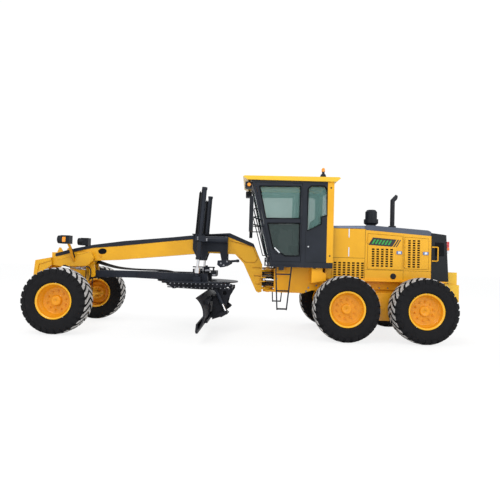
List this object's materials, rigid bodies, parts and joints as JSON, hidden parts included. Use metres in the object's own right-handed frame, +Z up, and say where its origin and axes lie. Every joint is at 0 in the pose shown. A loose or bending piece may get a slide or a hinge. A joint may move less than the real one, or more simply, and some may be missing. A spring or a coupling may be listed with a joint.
{
  "type": "motor grader",
  "caption": "Articulated motor grader with an arched front frame, a slewing blade under a toothed circle, a glazed cab and tandem rear wheels",
  "frame": {"origin": "bottom centre of the machine's bounding box, on the ground between the tyres", "axes": "front points to -X, rear to +X, left side to -Y, right side to +Y, up is +Z"},
  "size_m": [9.235, 3.658, 3.619],
  "materials": {
    "body_paint": "gloss yellow paint",
    "frame_paint": "gloss yellow paint",
    "rim_paint": "orange-yellow paint",
    "dark_paint": "satin charcoal paint",
    "cab_paint": "satin charcoal paint",
    "dark_metal": "dark cast iron",
    "exhaust_metal": "dark heat-stained steel",
    "rod_chrome": "polished cylinder rod",
    "worn_steel": "worn dark steel",
    "black_plastic": "matt black",
    "amber_lens": "amber lens",
    "seat_fabric": "dark woven fabric",
    "glass": "lightly tinted glass",
    "tyre": "black rubber"
  },
  "bodies": {
    "rear": {"rear_frame": "frame_paint", "tail_block": "frame_paint", "tandem_drive": "dark_paint", "engine_block": "dark_metal", "hood_shell": "body_paint", "hood_top": "dark_paint", "rear_cap": "dark_paint", "exhaust_stack": "exhaust_metal", "air_precleaner": "black_plastic", "cab_shell": "cab_paint", "cab_roof": "body_paint", "cab_glass": "glass", "operator_seat": "seat_fabric", "control_console": "black_plastic", "beacon": "amber_lens", "boarding_steps": "dark_paint", "mirrors": "black_plastic", "work_lamps": "black_plastic"},
    "front": {"front_frame": "body_paint", "beam_cover": "dark_paint", "saddle": "dark_paint", "headlamps": "black_plastic", "front_axle": "body_paint", "lift_barrels": "dark_paint"},
    "knuckle_left": {"knuckle_left": "body_paint"},
    "knuckle_right": {"knuckle_right": "body_paint"},
    "steering_rod": {"steering_rod": "rod_chrome"},
    "wheel_front_left": {"tyre_front_left": "tyre", "rim_front_left": "rim_paint"},
    "wheel_front_right": {"tyre_front_right": "tyre", "rim_front_right": "rim_paint"},
    "wheel_middle_left": {"tyre_middle_left": "tyre", "rim_middle_left": "rim_paint"},
    "wheel_middle_right": {"tyre_middle_right": "tyre", "rim_middle_right": "rim_paint"},
    "wheel_rear_left": {"tyre_rear_left": "tyre", "rim_rear_left": "rim_paint"},
    "wheel_rear_right": {"tyre_rear_right": "tyre", "rim_rear_right": "rim_paint"},
    "drawbar": {"drawbar": "dark_paint"},
    "circle": {"circle": "dark_paint", "tip_barrel": "dark_paint"},
    "blade_carrier": {"blade_carrier": "dark_paint"},
    "tip_rod": {"tip_rod": "rod_chrome"},
    "blade": {"mouldboard": "dark_paint", "cutting_edge": "worn_steel"},
    "lift_rod_left": {"lift_rod_left": "rod_chrome"},
    "lift_rod_right": {"lift_rod_right": "rod_chrome"},
    "articulation_barrel_left": {"articulation_barrel_left": "dark_paint"},
    "articulation_rod_left": {"articulation_rod_left": "rod_chrome"},
    "articulation_barrel_right": {"articulation_barrel_right": "dark_paint"},
    "articulation_rod_right": {"articulation_rod_right": "rod_chrome"},
    "cab_door_left": {"cab_door_left": "cab_paint", "door_glass_left": "glass"},
    "hood_door_front_left": {"hood_door_front_left": "body_paint"},
    "hood_door_rear_left": {"hood_door_rear_left": "body_paint"},
    "cab_door_right": {"cab_door_right": "cab_paint", "door_glass_right": "glass"},
    "hood_door_front_right": {"hood_door_front_right": "body_paint"},
    "hood_door_rear_right": {"hood_door_rear_right": "body_paint"}
  },
  "joints": [
    {"name": "articulation", "type": "hinge", "parent": "rear", "child": "front", "pos_m": [0.5215, 0, 1.15], "axis": [0, 0, 1], "range_deg": [-20, 20]},
    {"name": "steer_left", "type": "hinge", "parent": "front", "child": "knuckle_left", "pos_m": [-3.7055, -0.838, 0.66], "axis": [0, 0, 1], "range_deg": [-50, 50]},
    {"name": "steer_right", "type": "hinge", "parent": "front", "child": "knuckle_right", "pos_m": [-3.7055, 0.838, 0.66], "axis": [0, 0, 1], "range_deg": [-50, 50]},
    {"name": "steering_rod_slide", "type": "slide", "parent": "front", "child": "steering_rod", "axis": [0, 1, 0], "range_m": [-0.136, 0.136]},
    {"name": "roll_front_left", "type": "hinge", "parent": "knuckle_left", "child": "wheel_front_left", "pos_m": [-3.7055, -1.078, 0.655], "axis": [0, 1, 0], "continuous": true},
    {"name": "roll_front_right", "type": "hinge", "parent": "knuckle_right", "child": "wheel_front_right", "pos_m": [-3.7055, 1.078, 0.655], "axis": [0, 1, 0], "continuous": true},
    {"name": "roll_middle_left", "type": "hinge", "parent": "rear", "child": "wheel_middle_left", "pos_m": [2.0405, -1.078, 0.655], "axis": [0, 1, 0], "continuous": true},
    {"name": "roll_middle_right", "type": "hinge", "parent": "rear", "child": "wheel_middle_right", "pos_m": [2.0405, 1.078, 0.655], "axis": [0, 1, 0], "continuous": true},
    {"name": "roll_rear_left", "type": "hinge", "parent": "rear", "child": "wheel_rear_left", "pos_m": [3.5825, -1.078, 0.655], "axis": [0, 1, 0], "continuous": true},
    {"name": "roll_rear_right", "type": "hinge", "parent": "rear", "child": "wheel_rear_right", "pos_m": [3.5825, 1.078, 0.655], "axis": [0, 1, 0], "continuous": true},
    {"name": "lift", "type": "hinge", "parent": "front", "child": "drawbar", "pos_m": [-3.3985, 0, 1.168], "axis": [0, -1, 0], "range_deg": [-22, 4]},
    {"name": "circle_turn", "type": "hinge", "parent": "drawbar", "child": "circle", "pos_m": [-1.0485, 0, 1.028], "axis": [0, 0, 1], "continuous": true},
    {"name": "blade_tip", "type": "hinge", "parent": "circle", "child": "blade_carrier", "pos_m": [-0.4885, 0, 0.42], "axis": [0, -1, 0], "range_deg": [-5, 40]},
    {"name": "tip_rod_slide", "type": "slide", "parent": "circle", "child": "tip_rod", "axis": [0.4394, 0, -0.8983], "range_m": [-0.09, 0.012]},
    {"name": "blade_shift", "type": "slide", "parent": "blade_carrier", "child": "blade", "axis": [0, 1, 0], "range_m": [-0.6, 0.6]},
    {"name": "lift_rod_left_slide", "type": "slide", "parent": "front", "child": "lift_rod_left", "axis": [-0.0595, 0, -0.9982], "range_m": [-0.17, 0.93]},
    {"name": "lift_rod_right_slide", "type": "slide", "parent": "front", "child": "lift_rod_right", "axis": [-0.0595, 0, -0.9982], "range_m": [-0.17, 0.93]},
    {"name": "articulation_barrel_left_swing", "type": "hinge", "parent": "rear", "child": "articulation_barrel_left", "pos_m": [1.1115, -0.3, 1.15], "axis": [0, 0, 1], "range_deg": [-2, 2]},
    {"name": "articulation_rod_left_slide", "type": "slide", "parent": "articulation_barrel_left", "child": "articulation_rod_left", "axis": [-0.9894, 0.1455, 0], "range_m": [-0.076, 0.076]},
    {"name": "articulation_barrel_right_swing", "type": "hinge", "parent": "rear", "child": "articulation_barrel_right", "pos_m": [1.1115, 0.3, 1.15], "axis": [0, 0, 1], "range_deg": [-2, 2]},
    {"name": "articulation_rod_right_slide", "type": "slide", "parent": "articulation_barrel_right", "child": "articulation_rod_right", "axis": [-0.9894, -0.1455, 0], "range_m": [-0.076, 0.076]},
    {"name": "cab_door_left_hinge", "type": "hinge", "parent": "rear", "child": "cab_door_left", "pos_m": [1.1525, -0.77, 2.4], "axis": [0, 0, 1], "range_deg": [0, 95]},
    {"name": "hood_door_front_left_hinge", "type": "hinge", "parent": "rear", "child": "hood_door_front_left", "pos_m": [2.5965, -0.61, 1.8], "axis": [0, 0, -1], "range_deg": [0, 105]},
    {"name": "hood_door_rear_left_hinge", "type": "hinge", "parent": "rear", "child": "hood_door_rear_left", "pos_m": [3.3805, -0.61, 1.8], "axis": [0, 0, -1], "range_deg": [0, 105]},
    {"name": "cab_door_right_hinge", "type": "hinge", "parent": "rear", "child": "cab_door_right", "pos_m": [1.1525, 0.77, 2.4], "axis": [0, 0, -1], "range_deg": [0, 95]},
    {"name": "hood_door_front_right_hinge", "type": "hinge", "parent": "rear", "child": "hood_door_front_right", "pos_m": [2.5965, 0.61, 1.8], "axis": [0, 0, 1], "range_deg": [0, 105]},
    {"name": "hood_door_rear_right_hinge", "type": "hinge", "parent": "rear", "child": "hood_door_rear_right", "pos_m": [3.3805, 0.61, 1.8], "axis": [0, 0, 1], "range_deg": [0, 105]}
  ],
  "couplings": [
    {"joint": "steer_right", "follows": "steer_left", "ratio": 1},
    {"joint": "steering_rod_slide", "follows": "steer_left", "m_per_rad": 0.1535},
    {"joint": "tip_rod_slide", "follows": "blade_tip", "m_per_rad": -0.1255},
    {"joint": "lift_rod_left_slide", "follows": "lift", "m_per_rad": -2.387},
    {"joint": "lift_rod_right_slide", "follows": "lift", "m_per_rad": -2.387},
    {"joint": "articulation_barrel_left_swing", "follows": "articulation", "ratio": 0.0872},
    {"joint": "articulation_rod_left_slide", "follows": "articulation", "m_per_rad": -0.21097},
    {"joint": "articulation_barrel_right_swing", "follows": "articulation", "ratio": 0.0872},
    {"joint": "articulation_rod_right_slide", "follows": "articulation", "m_per_rad": 0.21097}
  ]
}
